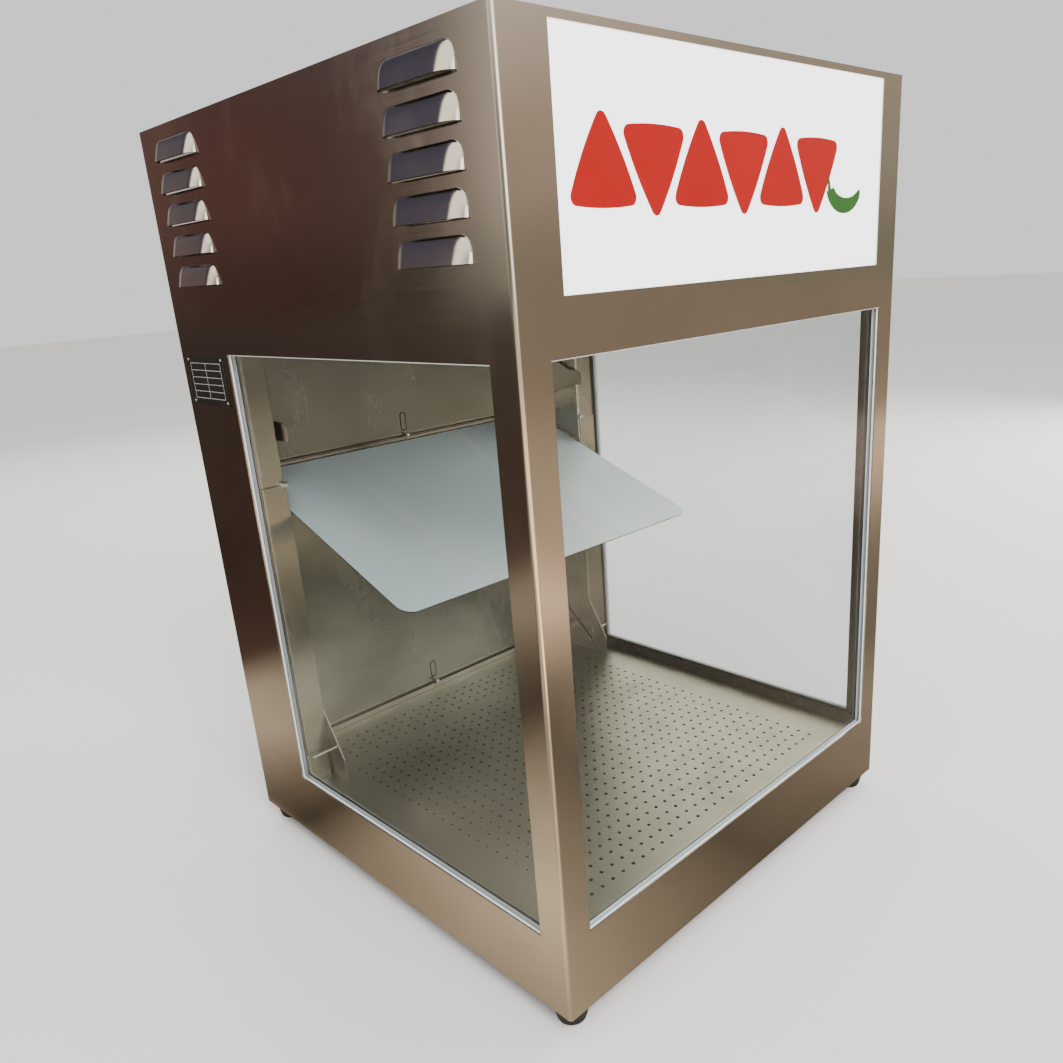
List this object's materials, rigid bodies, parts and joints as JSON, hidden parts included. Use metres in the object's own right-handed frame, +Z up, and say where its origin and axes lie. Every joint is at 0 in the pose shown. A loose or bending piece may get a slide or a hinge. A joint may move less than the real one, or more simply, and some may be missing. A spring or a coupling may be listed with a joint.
{
  "type": "nacho chip warming cabinet",
  "caption": "Counter-top sheet-metal cabinet with glass on three sides, a louvred heated header with a front sign, a perforated floor, a ramp and two rear flaps, for keeping snack chips warm.",
  "frame": {"origin": "middle of the footprint's bounding box, on the surface that the feet stand on", "axes": "+X to the right along the front, +Y from the front to the rear, +Z up"},
  "size_m": [0.471, 0.48, 0.677],
  "materials": {
    "brushed_steel": "horizontally brushed, semi-bright, with light handling marks",
    "inner_steel": "satin mill finish",
    "bright_steel": "bright",
    "filmed_steel": "sheet steel with a pale blue-grey protective film",
    "clear_glass": "clear, polished",
    "edging": "white glazing channel",
    "sign_white": "opal sign sheet",
    "dark_plate": "dark blank plate",
    "rubber": "matt",
    "black_plastic": "fine textured",
    "galvanised": "zinc-coated, dull",
    "heater": "oxidised sheath",
    "lamp_glass": "opal tube"
  },
  "bodies": {
    "cabinet": {"front_panel": "brushed_steel", "left_side_panel": "brushed_steel", "right_side_panel": "brushed_steel", "top_panel": "brushed_steel", "rear_header_panel": "brushed_steel", "front_glass_rail": "inner_steel", "left_glass_rail": "inner_steel", "right_glass_rail": "inner_steel", "base_pan": "inner_steel", "perforated_floor": "inner_steel", "left_air_duct": "inner_steel", "right_air_duct": "inner_steel", "left_duct_cover": "inner_steel", "right_duct_cover": "inner_steel", "rear_divider": "inner_steel", "rear_sill": "inner_steel", "left_side_guard": "inner_steel", "right_side_guard": "inner_steel", "left_guard_rod": "bright_steel", "right_guard_rod": "bright_steel", "left_baffle_peg": "bright_steel", "right_baffle_peg": "bright_steel", "upper_catch": "bright_steel", "lower_catch": "bright_steel", "front_glass": "clear_glass", "left_glass": "clear_glass", "right_glass": "clear_glass", "front_window_trim": "edging", "left_window_trim": "edging", "right_window_trim": "edging", "sign_panel": "sign_white", "data_plate": "dark_plate", "foot_front_left": "rubber", "foot_front_right": "rubber", "foot_rear_left": "rubber", "foot_rear_right": "rubber", "blower_motor": "black_plastic", "left_lamp_holder": "black_plastic", "right_lamp_holder": "black_plastic", "switch_bezel": "black_plastic", "power_inlet": "black_plastic", "header_deck": "galvanised", "air_plenum": "galvanised", "blower_housing": "galvanised", "thermostat_body": "galvanised", "heater_element": "heater", "lamp_tube": "lamp_glass"},
    "upper_door": {"upper_door": "inner_steel", "upper_hinge_pin": "bright_steel"},
    "lower_door": {"lower_door": "inner_steel", "lower_hinge_pin": "bright_steel"},
    "baffle": {"baffle_plate": "filmed_steel", "baffle_hinge_pin": "bright_steel"},
    "crumb_tray": {"crumb_tray": "inner_steel", "crumb_tray_pull": "bright_steel"},
    "blower_wheel": {"blower_wheel": "galvanised"},
    "thermostat_knob": {"thermostat_knob": "black_plastic"},
    "power_rocker": {"power_rocker": "black_plastic"},
    "light_rocker": {"light_rocker": "black_plastic"}
  },
  "joints": [
    {"name": "upper_door_swing", "type": "hinge", "parent": "cabinet", "child": "upper_door", "pos_m": [0, 0.2152, 0.488], "axis": [-1, 0, 0], "range_deg": [0, 38]},
    {"name": "lower_door_swing", "type": "hinge", "parent": "cabinet", "child": "lower_door", "pos_m": [0, 0.2152, 0.364], "axis": [-1, 0, 0], "range_deg": [0, 45]},
    {"name": "baffle_lift", "type": "hinge", "parent": "cabinet", "child": "baffle", "pos_m": [0, 0.2055, 0.3686], "axis": [-1, 0, 0], "range_deg": [0, 24]},
    {"name": "crumb_tray_slide", "type": "slide", "parent": "cabinet", "child": "crumb_tray", "axis": [0, 1, 0], "range_m": [0, 0.3]},
    {"name": "blower_spin", "type": "hinge", "parent": "cabinet", "child": "blower_wheel", "pos_m": [0, 0.045, 0.531], "axis": [0, 0, 1], "continuous": true},
    {"name": "thermostat_turn", "type": "hinge", "parent": "cabinet", "child": "thermostat_knob", "pos_m": [0.0365, 0.23, 0.616], "axis": [0, 1, 0], "range_deg": [0, 270]},
    {"name": "power_switch", "type": "hinge", "parent": "cabinet", "child": "power_rocker", "pos_m": [0.1035, 0.2212, 0.616], "axis": [1, 0, 0], "range_deg": [0, 18]},
    {"name": "light_switch", "type": "hinge", "parent": "cabinet", "child": "light_rocker", "pos_m": [0.1435, 0.2212, 0.616], "axis": [1, 0, 0], "range_deg": [0, 18]}
  ]
}
